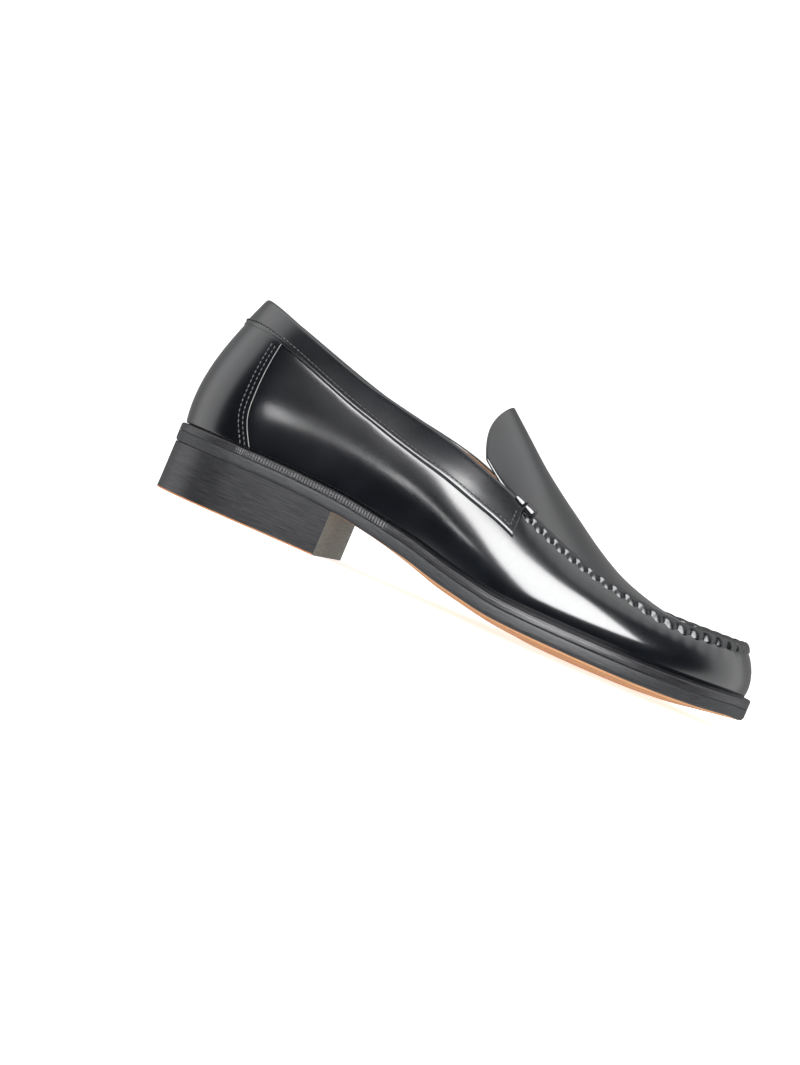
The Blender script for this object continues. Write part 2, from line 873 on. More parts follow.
@dataclass(frozen=True)
class DyedEdge:
    """Black-stained leather edge with its grain lying flat: the welt, the lifts, the top piece."""

    name: str
    dark: tuple = (0.006, 0.006, 0.007)
    light: tuple = (0.030, 0.031, 0.035)
    along: float = 90.0
    upright: float = 1700.0
    depth: float = 0.10 * MM
    tan_below: float = -1.0
    tan: tuple = (0.42, 0.18, 0.07)
    blur: float = 0.1 * MM
    ribs: tuple | None = None

    def make(self) -> bpy.types.Material:
        """Build the material: flattened fibres make fine level lines, a wheel prints ribs.

        Returns:
            The material.
        """
        g = Graph(self.name)
        g.set(Specular_IOR_Level=0.15, Coat_Weight=0.3, Coat_Roughness=0.22)
        streaks = g.noise(1.0, 5.0, 0.65, g.mapped((self.along, self.along, self.upright)))
        flecks = g.noise(1.0, 3.0, 0.6, g.mapped((420.0, 420.0, 1500.0)))
        shade = g.ramp(streaks, [(0.34, self.dark), (0.76, self.light)])
        if self.tan_below > 0:
            start, end = self.tan_below - self.blur, self.tan_below + self.blur
            low = g.span(g.part("Z"), 1.0, 0.0, start, end)
            shade = g.mix(low, shade, self.tan)
        g.colour(shade)
        g.roughness(g.span(flecks, 0.32, 0.5, 0.3, 0.7))
        layers = [(streaks, 0.5, self.depth), (flecks, 0.45, 0.11 * MM)]
        if self.ribs:
            first, last, count = self.ribs
            wheel = g.waves(count * math.tau / WAVE_TURN, "X", 0.0, g.mapped((1.0, 1.0, 1.0), "UV"))
            inside = g.times(g.span(g.part("X"), 0.0, 1.0, first, first + 8 * MM),
                             g.span(g.part("X"), 1.0, 0.0, last - 4 * MM, last))
            layers.append((g.times(wheel, inside), 0.9, 0.30 * MM))
        g.bumps(*layers)
        return g.material


@dataclass(frozen=True)
class PlainStuff:
    """Inner and small parts: a base colour clouded by noise, with a grain of its own scale."""

    name: str
    dark: tuple
    light: tuple
    rough: float = 0.6
    cloud_scale: float = 120.0
    grain_scale: float = 900.0
    grain_depth: float = 0.1 * MM
    metal: float = 0.0

    def make(self) -> bpy.types.Material:
        """Build the material.

        Returns:
            The material.
        """
        g = Graph(self.name)
        g.set(Metallic=self.metal, Specular_IOR_Level=0.5 if self.metal else 0.02)
        clouds = g.noise(self.cloud_scale, 5.0, 0.6)
        g.colour(g.ramp(clouds, [(0.32, self.dark), (0.7, self.light)]))
        spots = g.noise(self.grain_scale * 0.5)
        g.roughness(g.span(spots, self.rough - 0.08, self.rough + 0.1, 0.3, 0.7))
        g.bumps((g.cells(self.grain_scale), 0.4, self.grain_depth),
                (g.noise(self.grain_scale * 2, 3.0), 0.3, self.grain_depth))
        return g.material


@dataclass(frozen=True)
class WaxedThread:
    """Black waxed thread, its plies showing as slanting bands."""

    name: str = "waxed_black_thread"

    def make(self) -> bpy.types.Material:
        """Build the material.

        Returns:
            The material.
        """
        g = Graph(self.name)
        g.set(Specular_IOR_Level=0.4)
        twist = g.waves(900.0, "DIAGONAL", 0.6)
        g.colour(g.ramp(twist, [(0.2, (0.010, 0.010, 0.012)), (0.9, (0.045, 0.045, 0.050))]))
        g.roughness(g.span(twist, 0.36, 0.55))
        g.bumps((twist, 0.4, 0.10 * MM), (g.noise(2500.0), 0.3, 0.05 * MM))
        return g.material


@dataclass
class Finishes:
    """Every material of the shoe, made once."""

    def __post_init__(self) -> None:
        """Make them."""
        self.upper = PolishedLeather().make()
        self.gathered = PolishedLeather("gathered_black_leather", glaze=0.6, haze=0.27).make()
        self.lining = TanLeather("tan_lining_leather").make()
        self.suede = TanLeather("tongue_suede", (0.16, 0.075, 0.03), (0.30, 0.16, 0.075),
                                rough=0.8, nap=0.5).make()
        self.raw_edge = PlainStuff("cut_leather_edge", (0.020, 0.018, 0.016),
                                   (0.075, 0.066, 0.056), 0.8).make()
        self.sole = SoleLeather().make()
        self.welt = DyedEdge("dyed_welt_edge", ribs=(-0.112, -0.031, 640)).make()
        self.heel = DyedEdge("stacked_heel_leather", depth=0.045 * MM).make()
        self.top_piece = DyedEdge("top_piece_leather", depth=0.045 * MM, tan_below=0.65 * MM).make()
        self.breast = DyedEdge("satin_heel_breast", (0.10, 0.107, 0.095),
                               (0.17, 0.18, 0.16)).make()
        self.board = PlainStuff("leather_board", (0.30, 0.2, 0.12), (0.48, 0.36, 0.24),
                                0.75).make()
        self.cork = PlainStuff("granulated_cork", (0.2, 0.11, 0.05), (0.5, 0.33, 0.19), 0.9,
                               cloud_scale=350.0, grain_scale=420.0, grain_depth=0.4 * MM).make()
        self.steel = PlainStuff("spring_steel", (0.4, 0.4, 0.41), (0.6, 0.6, 0.61), 0.32,
                                cloud_scale=60.0, grain_scale=2000.0, grain_depth=0.02 * MM,
                                metal=1.0).make()
        self.cloth = PlainStuff("stiffened_cotton", (0.55, 0.52, 0.46), (0.76, 0.73, 0.66), 0.9,
                                cloud_scale=200.0, grain_scale=1300.0).make()
        self.thread = WaxedThread().make()


# ---------------------------------------------------------------------------- bottom of the shoe
Height = Callable[[float, float], float]


@dataclass
class Bottom:
    """Outsole, welt, heel and the boards under the foot."""

    form: Form
    finishes: Finishes
    columns: int = 364
    ring_width: float = 15.0 * MM
    breast: float = 89.5 * MM
    heel_inset: float = 0.5 * MM
    top_piece_thick: float = 6.0 * MM
    lift_count: int = 5
    lift_round: float = 0.025 * MM
    glue_share: float = 0.97
    sharp: float = math.radians(15)
    breast_facing: float = 0.9
    insole_inset: float = 10.0 * MM
    insole_thick: float = 2.4 * MM
    sock_thick: float = 0.9 * MM
    spine_start: float = 26 * MM
    spine_end: float = 268 * MM

    def spine(self, station: float) -> np.ndarray:
        """Plan point of the middle line of the sole that a station's cross-section runs to.

        Args:
            station: Place round the shoe.

        Returns:
            The point, level with the ground.
        """
        outer = self.form.edge_ring(station)
        inner = self.form.edge_ring(self.form.back - station)
        mean = (outer + inner) / 2
        share = mean[0] / self.form.length
        x = self.spine_start + share * (self.spine_end - self.spine_start)
        return np.array([x, mean[1], 0.0])

    def around(self, section: Sequence[tuple[float | None, Height]]) -> bmesh.types.BMesh:
        """Solid or ring whose cross-section goes round the sole's outline.

        Args:
            section: Each point's inset from the outline, None for the middle line, and its height
                as a function of x and y.

        Returns:
            The mesh, closed.
        """
        rows = len(section) - 1

        def place(u: float, w: float) -> Vector:
            """Point of the section, carried round the sole's outline."""
            inset, height = section[round(w * rows)]
            station = u * self.form.back
            point = self.spine(station) if inset is None else self.form.sole_point(station, inset)
            return self.form.place(np.array([point[0], point[1], height(point[0], point[1])]))

        bm = sheet_mesh(self.columns, rows, place)
        bmesh.ops.remove_doubles(bm, verts=bm.verts, dist=2e-6)
        bmesh.ops.dissolve_degenerate(bm, edges=bm.edges, dist=1e-6)
        bmesh.ops.recalc_face_normals(bm, faces=bm.faces)
        return bm

    def outsole(self) -> None:
        """Sole with a rounded lower edge and a crowned tan underside."""
        form = self.form

        def above(lift: float) -> Height:
            """Height above the underside."""
            return lambda x, y: form.underside(x, y) + lift
        top = form.sole_thick
        section = [
            (None, above(top)), (self.ring_width, above(top)), (0.6 * MM, above(top)),
            (0.12 * MM, above(top - 0.05 * MM)), (0.0, above(top - 0.4 * MM)),
            (0.0, above(top * 0.66)), (0.0, above(top * 0.4)), (0.05 * MM, above(1.5 * MM)),
            (0.25 * MM, above(0.75 * MM)), (0.7 * MM, above(0.25 * MM)),
            (1.3 * MM, above(0.03 * MM)), (2.2 * MM, above(0.0)), (5 * MM, above(0)),
            (9 * MM, above(0)), (14 * MM, above(0)), (20 * MM, above(0)), (None, above(0.0)),
        ]
        piece = finish_mesh("leather_outsole", self.around(section))
        fit(piece, Body.SHOE, Slot.SOLE, self.finishes.sole, ["outsole"])

    def welt(self) -> None:
        """Ring under the upper: a ledge, a bevelled rim with a fine line, a level groove."""
        form = self.form

        def below(drop: float) -> Height:
            """Height below the top of the welt."""
            return lambda x, y: form.welt_top(x) - drop

        def base(lift: float) -> Height:
            """Height above the top of the outsole."""
            return lambda x, y: form.underside(x, y) + form.sole_thick + form.glue + lift
        section = [
            (self.ring_width, base(0)), (self.ring_width, below(0)), (7 * MM, below(0)),
            (6.6 * MM, below(-0.7 * MM)), (3.5 * MM, below(-0.7 * MM)), (3.2 * MM, below(0)),
            (2.4 * MM, below(0.02 * MM)), (1.5 * MM, below(0.08 * MM)),
            (0.9 * MM, below(0.20 * MM)), (0.45 * MM, below(0.42 * MM)),
            (0.14 * MM, below(0.74 * MM)), (0.02 * MM, below(1.1 * MM)), (0.0, below(1.35 * MM)),
            (0.13 * MM, below(1.5 * MM)), (0.0, below(1.65 * MM)), (0.0, below(2.1 * MM)),
            (0.0, below(2.9 * MM)), (0.0, base(0.3 * MM)), (0.05 * MM, base(0.08 * MM)),
            (0.2 * MM, base(0)), (self.ring_width, base(0)),
        ]
        piece = finish_mesh("leather_welt", self.around(section))
        fit(piece, Body.SHOE, Slot.WELT, self.finishes.welt, ["welt"])

    def heel_layer(self, name: str, low: float, high: float, finish: bpy.types.Material, slot: Slot,
                   topmost: bool = False) -> None:
        """One layer of the heel, cut straight at the breast.

        Args:
            name: The CAD node that it replaces.
            low: Height of its lower face.
            high: Height of its upper face.
            finish: Its material.
            slot: The record's slot.
            topmost: Whether its upper face follows the sole.
        """
        form = self.form
        inset = self.heel_inset

        def from_top(drop: float) -> Height:
            """Height below the layer's upper face."""
            if topmost:
                return lambda x, y: form.underside(min(x, self.breast), 0) - form.glue - drop
            return lambda x, y: high - drop

        def from_low(lift: float) -> Height:
            """Height above the layer's lower face."""
            return lambda x, y: low - self.glue_share * form.glue * (low > 0) + lift
        soft = self.lift_round
        section = [(None, from_top(0)), (8 * MM, from_top(0)), (inset + soft, from_top(0)),
                   (inset + soft * 0.3, from_top(soft * 0.3)), (inset, from_top(soft)),
                   (inset, from_top(0.6 * MM)), (inset, from_low(0.6 * MM)),
                   (inset, from_low(soft)), (inset + soft * 0.3, from_low(soft * 0.3)),
                   (inset + soft, from_low(0)), (8 * MM, from_low(0)), (None, from_low(0))]
        bm = self.around(section)
        cut = form.place(np.array([self.breast, 0, 0]))
        everything = bm.verts[:] + bm.edges[:] + bm.faces[:]
        made = bmesh.ops.bisect_plane(bm, geom=everything, dist=1e-6, plane_co=cut,
                                      plane_no=(1, 0, 0), clear_outer=True)
        rim = [item for item in made["geom_cut"] if isinstance(item, bmesh.types.BMEdge)]
        bmesh.ops.holes_fill(bm, edges=rim, sides=0)
        bmesh.ops.recalc_face_normals(bm, faces=bm.faces)
        piece = finish_mesh(name + "_leather", bm)
        piece.data.set_sharp_from_angle(angle=self.sharp)
        fit(piece, Body.SHOE, slot, finish, [name])
        piece.data.materials.append(self.finishes.breast)
        for face in piece.data.polygons:
            face.material_index = int(face.normal.x > self.breast_facing)

    def heel(self) -> None:
        """The top piece and the lifts above it."""
        lift = (self.form.heel_height - self.top_piece_thick) / self.lift_count
        self.heel_layer("top_piece", 0.0, self.top_piece_thick, self.finishes.top_piece,
                        Slot.TOP_PIECE)
        for i in range(self.lift_count):
            low = self.top_piece_thick + i * lift + self.form.glue
            self.heel_layer(f"heel_lift_{i + 1}", low, low + lift - self.form.glue,
                            self.finishes.heel, Slot.HEEL, topmost=i == self.lift_count - 1)

    def sock(self) -> None:
        """Tan leather sock over the insole, dished a little towards its middle."""
        form = self.form
        base = 2 * form.glue + self.insole_thick
        inset = self.insole_inset + 0.5 * MM

        def level(lift: float) -> Height:
            """Height above the insole."""
            return lambda x, y: form.welt_top(x) + base + lift
        thick = self.sock_thick
        section = [
            (None, level(thick)), (inset + 8 * MM, level(thick)), (inset + 1 * MM, level(thick)),
            (inset, level(thick * 0.7)), (inset, level(thick * 0.2)), (inset + 1 * MM, level(0)),
            (None, level(0)),
        ]
        piece = finish_mesh("leather_sock", self.around(section))
        fit(piece, Body.SHOE, Slot.LINING, self.finishes.lining, ["sock_liner"])

    def channel(self) -> None:
        """Closed channel that hides the sole's seam: a fine line round the underside."""
        form = self.form
        inset, half, proud = 7.5 * MM, 0.22 * MM, 0.05 * MM

        def low(lift: float) -> Height:
            """Height below the underside."""
            return lambda x, y: form.underside(x, y) - lift
        section = [(inset - half, low(0)), (inset, low(proud)), (inset + half, low(0)),
                   (inset, low(-proud)), (inset - half, low(0))]
        piece = finish_mesh("sole_channel", self.around(section))
        fit(piece, Body.SHOE, Slot.SOLE, self.finishes.raw_edge)

    def build(self) -> None:
        """Every piece below the foot."""
        self.outsole()
        self.welt()
        self.heel()
        self.sock()
        self.channel()


# ---------------------------------------------------------------------------- upper
Path = Callable[[float], tuple[np.ndarray, np.ndarray]]
Line = Callable[[float, float], np.ndarray]


@dataclass
class Upper:
    """Wall, counter cover, collar band, linings and the seam round the apron."""

    form: Form
    finishes: Finishes
    seam_depth: float = 5.0 * MM
    seam_start: float = 7.06
    seam_row: float = 0.89
    seam_lean: float = 0.16
    pitch: float = 6.4 * MM
    faces_a_stitch: int = 12
    thread: float = 0.34 * MM
    machine_pitch: float = 2.35 * MM
    thread_shown: float = 0.74
    cover_out: float = 0.95 * MM
    cover_low: float = 0.001
    cover_thick: float = 0.85 * MM
    lining_thick: float = 0.9 * MM
    band_end: float = 7.04
    band_round: float = 0.9 * MM
    mouth_station: float = 24.5 * MM
    wall_station: float = 20.5 * MM
    stitch_margin: float = 2.7 * MM
    counter_margin: float = 2.0 * MM
    row_spacing: float = 1.9 * MM
    lining_depth: float = 3.12 * MM
    vamp_faces: tuple = (440, 24)
    cover_columns: int = 90
    cover_rows: int = 22
    collar_columns: int = 320
    lining_columns: int = 150
    apron_faces: tuple = (120, 44)
    suede_faces: tuple = (90, 30)
    ridge_height: tuple = (
        (0.0, 0.96), (0.3, 1.0), (0.42, 0.84), (0.5, 0.78), (0.58, 0.84), (0.7, 1.0), (1.0, 0.96),
    )

    def __post_init__(self) -> None:
        """Measure the seam round the apron, so that pleats and stitches share one count."""
        stations = np.linspace(self.seam_start, self.form.back - self.seam_start, 1500)
        points = np.array([self.form.head(s) for s in stations])
        runs = np.concatenate([[0.0], np.cumsum(np.linalg.norm(np.diff(points, axis=0), axis=1))])
        self.seam_stitches = round(float(runs[-1]) / self.pitch)
        self.seam_table = (stations, runs / runs[-1])
        self.height = Table(self.ridge_height)

    def seam_station(self, share: float) -> float:
        """Station at a share of the way round the apron's seam."""
        return float(np.interp(share, self.seam_table[1], self.seam_table[0]))

    def seam_share(self, station: float) -> float:
        """Share of the way round the apron's seam at a station."""
        return float(np.interp(station, self.seam_table[0], self.seam_table[1]))

    def pleat(self, share: float) -> float:
        """1 at a stitch of the seam, 0 between two."""
        return 0.5 + 0.5 * math.cos(2 * math.pi * share * self.seam_stitches)

    def on_seam(self, station: float) -> float:
        """1 where the wall is sewn to the apron, 0 along the mouth.

        Args:
            station: Place round the shoe.

        Returns:
            The share.
        """
        lead, fade = 0.05, 0.25
        place = min(max((self.form.near(station) - self.seam_start + lead) / fade, 0.0), 1.0)
        return place * place * (3 - 2 * place)

    def vamp(self) -> None:
        """Moccasin wall, drawn in under the seam and dimpled at each stitch."""
        form = self.form
        fade, draw, dimple_depth, tuck = 8 * MM, 0.25 * MM, 0.17 * MM, 1.25 * MM
        ends = 0.02

        def place(u: float, w: float) -> Vector:
            """Point of the wall's face, drawn in below and above the seam."""
            station = ends + u * (form.back - 2 * ends)
            sewn = self.on_seam(station)
            seam = 1 - form.rise_by(station, self.seam_depth)
            if w < self.seam_row:
                bent = w / self.seam_row * seam
            else:
                bent = seam + (1 - seam) * (w - self.seam_row) / (1 - self.seam_row)
            rise = w + (bent - w) * sewn
            above = max(0.0, (rise - seam) / (1 - seam))
            below = min(max(0.0, 1 - (seam - rise) / form.rise_by(station, fade)), 1.0)
            dimple = dimple_depth * self.pleat(self.seam_share(station)) * below ** 2
            depth = (draw * below ** 3 + dimple + tuck * above ** 0.7) * sewn
            return form.place(form.wall(station, rise, -depth))

        piece = finish_mesh("vamp_leather", sheet_mesh(*self.vamp_faces, place))
        thicken(piece, form.upper_thick, 1)
        fit(piece, Body.SHOE, Slot.UPPER, self.finishes.upper, ["vamp"])

    def ridge(self) -> None:
        """Raised seam round the apron: two leathers turned up and gathered by the stitches."""
        form = self.form
        outline = [
            (-1.2, -6.6), (0.9, -6.3), (1.6, -5.5), (1.75, -4.3), (1.5, -3.0), (1.05, -1.8),
            (0.45, -0.7), (-0.45, 0.1), (-1.35, 0.15), (-2.1, -0.6), (-2.6, -1.9), (-2.9, -3.3),
            (-3.0, -4.9),
        ]
        rows = len(outline) - 1
        outer_nip, inner_nip, top_nip, end_drop, end_share = 1.10, 0.45, 0.40, 1.2, 0.02

        def place(u: float, w: float) -> Vector:
            """Point of the ridge, nipped at each stitch."""
            station = self.seam_station(u)
            out, up = outline[round(w * rows)]
            pull = self.pleat(u) ** 1.6
            side = 2 * w - 1
            nip = outer_nip if side < 0 else -inner_nip
            out -= nip * pull * (1 - abs(abs(side) - 0.5))
            up = up * self.height(u) - top_nip * pull * max(0.0, 1 - abs(side) * 1.5)
            up -= end_drop * max(0.0, 1 - min(u, 1 - u) / end_share) ** 2
            level = form.outward(station) * (out - self.seam_lean * up) * MM
            return form.place(form.head(station) + level + np.array([0, 0, up * MM]))

        columns = self.seam_stitches * self.faces_a_stitch
        piece = finish_mesh("apron_seam_ridge", sheet_mesh(columns, rows, place))
        subdivide(piece, 1)
        fit(piece, Body.SHOE, Slot.UPPER, self.finishes.gathered)

    def cover_point(self, station: float, w: float, lift: float) -> np.ndarray:
        """Point of the counter cover, w of the way up, lifted off its face.

        Args:
            station: Place round the shoe.
            w: Place up the cover.
            lift: How far off its face.

        Returns:
            The point.
        """
        form = self.form
        top = form.collar_edge(station) + form.rise_by(station, 2.5 * MM)
        rise = self.cover_low + w * (top - self.cover_low)
        return form.wall(station, rise, self.cover_out + lift)

    def counter_cover(self) -> None:
        """Back piece with a raw front edge, lapped over the wall."""
        form = self.form
        # The vertices behind each front edge stand a tenth of a column from it, to keep it crisp.
        columns, support = self.cover_columns, 0.1
        last_column = 2 / columns
        stretch = (1 - support * last_column) / (1 - last_column)

        def place(u: float, w: float) -> Vector:
            """Point of the back piece's face."""
            even = min(max((2 * u - 1) * stretch, -1.0), 1.0)
            return form.place(self.cover_point(even * form.counter(w), w, 0.0))

        piece = finish_mesh("counter_leather", sheet_mesh(columns, self.cover_rows, place))
        thicken(piece, self.cover_thick, 1)
        piece.modifiers["thickness"].material_offset_rim = 1
        fit(piece, Body.SHOE, Slot.UPPER, self.finishes.upper, ["counter_cover"])
        piece.data.materials.append(self.finishes.raw_edge)

    def band_out(self, station: float, out: float) -> float:
        """How far the collar band stands out of the wall, rounded down at its two front ends.

        Args:
            station: Place round the shoe.
            out: Distance where the band is whole.

        Returns:
            The distance here.
        """
        short = min((self.band_end - abs(station)) * self.mouth_station / self.band_round, 1.0)
        curve = math.sqrt(max(0.0, 1 - (1 - short) ** 2))
        return out * curve if out > 0 else out

    def collar_band(self) -> None:
        """Band round the mouth: raised lower edge, and a top edge rolled over the lining."""
        form = self.form
        profile = [
            (0.0, 0.15), (0.006, 0.85), (0.025, 1.36), (0.06, 1.58), (0.12, 1.55), (0.2, 1.5),
            (0.35, 1.5), (0.5, 1.5), (0.65, 1.5), (0.8, 1.5), (0.9, 1.5), (0.955, 1.32),
            (0.99, 0.85), (1.005, 0.1), (1.008, -0.6), (1.0, -1.3), (0.97, -1.85), (0.92, -2.1),
            (0.84, -2.2),
        ]
        rows = len(profile) - 1

        def place(u: float, w: float) -> Vector:
            """Point of the band's section, at a station that steps finer near its ends."""
            even = 2 * u - 1
            station = self.band_end * even * (1.5 - 0.5 * even * even)
            part, out = profile[round(w * rows)]
            low = form.collar_edge(station)
            rise = low + (1 - low) * part
            return form.place(form.wall(station, rise, self.band_out(station, out * MM)))

        piece = finish_mesh("collar_leather", sheet_mesh(self.collar_columns, rows, place))
        subdivide(piece, 1)
        fit(piece, Body.SHOE, Slot.UPPER, self.finishes.upper, ["collar_band"])

    def linings(self) -> None:
        """Tan lining up to the rolled edge of the mouth, and inside the front wall."""
        form = self.form
        tuck_in, tuck_from, tuck_run = 1.22 * MM, 0.86, 0.1
        quarter_top, front_top, parting = 0.985, 0.82, 0.03

        def quarter(u: float, w: float) -> Vector:
            """Point of the lining behind the collar."""
            rise = w * quarter_top
            tuck = min(max((rise - tuck_from) / tuck_run, 0.0), 1.0)
            depth = tuck_in * tuck - self.lining_depth
            return form.place(form.wall((2 * u - 1) * form.throat, rise, depth))

        def front(u: float, w: float) -> Vector:
            """Point of the lining of the front wall."""
            start = form.throat + parting
            station = start + u * (form.back - 2 * start)
            return form.place(form.wall(station, w * front_top, -self.lining_depth))

        for name, place, rows in (("quarter_lining", quarter, 18), ("vamp_lining", front, 12)):
            piece = finish_mesh(name + "_leather", sheet_mesh(self.lining_columns, rows, place))
            thicken(piece, self.lining_thick, 1)
            fit(piece, Body.SHOE, Slot.LINING, self.finishes.lining, [name])

    def apron(self) -> None:
        """Apron and tongue in one leather, with the suede back, bending at the tongue's root."""
        form = self.form
        last = len(form.apron_middle) - 1
        crease, crease_half, crease_lines = 0.32 * MM, 0.07, 6
        reach, narrowing, gap = 0.965, 0.1, 0.05 * MM
        first_line, short_of_toe = 0.06, 0.4

        def top(u: float, w: float) -> Vector:
            """Point of the leather, with its soft middle crease."""
            share = 2 * w - 1
            line = u * last
            fold = crease * math.exp(-(share / crease_half) ** 2)
            fold *= max(0.0, 1 - line / crease_lines)
            return form.place(form.apron(line, share) + np.array([0.4, 0, 0.9]) * fold)

        def under(u: float, w: float) -> Vector:
            """Point of the suede below it."""
            line = first_line + u * (last - short_of_toe)
            inner = reach - narrowing * min(max(line - form.root, 0.0), 1.0)
            return form.place(form.apron_under(line, (2 * w - 1) * inner, form.upper_thick + gap))

        leather = finish_mesh("apron_leather", sheet_mesh(*self.apron_faces, top))
        thicken(leather, form.upper_thick, 1)
        suede = finish_mesh("tongue_suede_lining", sheet_mesh(*self.suede_faces, under))
        thicken(suede, self.lining_thick, 1)
        layers = ((leather, Slot.UPPER, self.finishes.upper, ["apron", "tongue"]),
                  (suede, Slot.LINING, self.finishes.suede, ["apron_lining", "tongue_lining"]))
        for piece, slot, finish, nodes in layers:
            piece.data.materials.append(finish)
            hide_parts(*nodes)
            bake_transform(piece)
            log.info("%s: %d faces", piece.name, len(piece.data.polygons))

    def add_row(self, bm: bmesh.types.BMesh, path: Path, shown: float, radius: float,
                count: int) -> None:
        """Add one row of stitches to a mesh.

        Args:
            bm: The mesh.
            path: Point and outward direction at a share of the row.
            shown: Share of each pitch that the thread shows.
            radius: Of the thread.
            count: How many stitches.
        """
        for i in range(count):
            start, out = path((i + 0.5 - shown / 2) / count)
            end, _ = path((i + 0.5 + shown / 2) / count)
            stitch(bm, self.form.place(start), self.form.place(end), Vector(out), radius)

    def even_path(self, line: Line) -> tuple[Path, float]:
        """Path whose share is even in length, along a line on the upper.

        Args:
            line: Point at a share of the way, lifted off the leather by a length.

        Returns:
            The path, as a point and the direction out of the leather, and its length.
        """
        shares = np.linspace(0, 1, 300)
        points = np.array([line(share, 0.0) for share in shares])
        runs = np.concatenate([[0.0], np.cumsum(np.linalg.norm(np.diff(points, axis=0), axis=1))])

        def path(even: float) -> tuple[np.ndarray, np.ndarray]:
            """Point and outward step at an even share of the length."""
            share = float(np.interp(even, runs / runs[-1], shares))
            point = line(share, 0.0)
            return point, line(share, MM) - point
        return path, float(runs[-1])

    def add_machine_row(self, bm: bmesh.types.BMesh, line: Line) -> None:
        """Add a row of even machine stitches along a line on the upper.

        Args:
            bm: The mesh.
            line: Point at a share of the row, lifted off the leather.
        """
        path, length = self.even_path(line)
        self.add_row(bm, path, self.thread_shown, self.thread, round(length / self.machine_pitch))

    def finish_row(self, name: str, bm: bmesh.types.BMesh, node: str) -> None:
        """Make rows of stitches a piece that stands for a CAD node.

        Args:
            name: The piece's name.
            bm: Its mesh.
            node: The CAD node.
        """
        fit(finish_mesh(name, bm), Body.SHOE, Slot.THREAD, self.finishes.thread, [node])

    def collar_stitches(self) -> None:
        """Row above the collar band's lower edge, turned up along its two front ends."""
        form = self.form
        lift, climb = 1.82 * MM, 7.5 * MM
        end = self.band_end - self.stitch_margin / self.mouth_station

        def rise_of(station: float) -> float:
            """Rise of the row."""
            return form.collar_edge(station) + form.rise_by(station, self.stitch_margin)

        def level(share: float, out: float) -> np.ndarray:
            """Point of the row round the mouth."""
            station = (2 * share - 1) * end
            return form.wall(station, rise_of(station), lift + out)

        bm = bmesh.new()
        self.add_machine_row(bm, level)
        for side in (-1, 1):
            def upright(share: float, out: float, station: float = side * end) -> np.ndarray:
                """Point of the short row up a front end."""
                rise = rise_of(station) + form.rise_by(station, climb * share)
                return form.wall(station, rise, lift + out)
            self.add_machine_row(bm, upright)
        self.finish_row("collar_stitches", bm, "collar_thread")

    def counter_stitches(self) -> None:
        """Two rows behind each front edge of the counter cover."""
        form = self.form
        lift, start, reach = 0.08 * MM, 0.015, 0.90
        bm = bmesh.new()
        for side in (-1, 1):
            for k in range(2):
                back = (self.counter_margin + k * self.row_spacing) / self.wall_station

                def line(share: float, out: float, side: int = side,
                         back: float = back) -> np.ndarray:
                    """Point of a row behind a front edge."""
                    w = start + share * reach
                    return self.cover_point(side * (form.counter(w) - back), w, lift + out)
                self.add_machine_row(bm, line)
        self.finish_row("counter_stitches", bm, "counter_threads")

    def apron_stitches(self) -> None:
        """Hand stitches at the foot of the ridge round the apron."""
        form = self.form
        drop, out_of, shown, thread = -5.9, 0.95, 0.62, 0.46 * MM

        def seam(share: float) -> tuple[np.ndarray, np.ndarray]:
            """Foot of the ridge, and the level direction out."""
            station = self.seam_station(share)
            out = form.outward(station)
            up = drop * self.height(share)
            offset = out * (out_of - self.seam_lean * up) + np.array([0, 0, up])
            return form.head(station) + offset * MM, out

        bm = bmesh.new()
        self.add_row(bm, seam, shown, thread, self.seam_stitches)
        self.finish_row("apron_stitches", bm, "apron_thread")

    def rolls(self) -> None:
        """Two turns of leather wound round each end of the seam, at the throat."""
        form = self.form
        radius, turn_length, spacing, ahead = 2.65 * MM, 5.6 * MM, 2.95 * MM, 0.12
        for name, station, step in (("outer_roll", form.throat, ahead),
                                    ("inner_roll", form.back - form.throat, -ahead)):
            bm = bmesh.new()
            head, front = form.head(station), form.head(station + step)
            along = Vector(front - head).normalized()
            out = Vector(form.outward(station))
            side = along.cross(out).normalized()
            turn = Matrix((along, out, side)).transposed().to_4x4()
            for shift in (-spacing, spacing):
                turn.translation = form.place(head) + along * (shift + 1.2 * MM) + out * 0.9 * MM
                made = bmesh.ops.create_cone(bm, cap_ends=True, segments=28, radius1=radius,
                                             radius2=radius, depth=turn_length,
                                             matrix=turn @ Matrix.Rotation(math.pi / 2, 4, "Y"))
                edges = {edge for vert in made["verts"] for edge in vert.link_edges}
                rims = [edge for edge in edges if abs(
                    (edge.verts[0].co - edge.verts[1].co).normalized().dot(along)) < 0.5]
                bmesh.ops.bevel(bm, geom=rims, offset=0.8 * MM, offset_type="OFFSET", segments=5,
                                profile=0.5, affect="EDGES", material=-1, clamp_overlap=True)
            piece = finish_mesh(name + "_leather", bm)
            fit(piece, Body.SHOE, Slot.UPPER, self.finishes.upper, [name])

    def build(self) -> None:
        """Every piece above the welt."""
        self.vamp()
        self.counter_cover()
        self.collar_band()
        self.linings()
        self.ridge()
        self.apron()
        self.collar_stitches()
        self.counter_stitches()
        self.apron_stitches()
        self.rolls()


def dress_inner_nodes(finishes: Finishes) -> None:
    """Give the CAD nodes that lie hidden inside the shoe their own finishes.

    Args:
        finishes: The shoe's materials.
    """
    wanted = {"shank": finishes.steel, "heel_nails": finishes.steel, "cork_filler": finishes.cork,
              "insole": finishes.board, "heel_stiffener": finishes.board,
              "toe_puff": finishes.cloth, "outer_backing": finishes.cloth,
              "inner_backing": finishes.cloth}
    for name, finish in wanted.items():
        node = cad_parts[name]
        for slot in node.material_slots:
            slot.material = finish


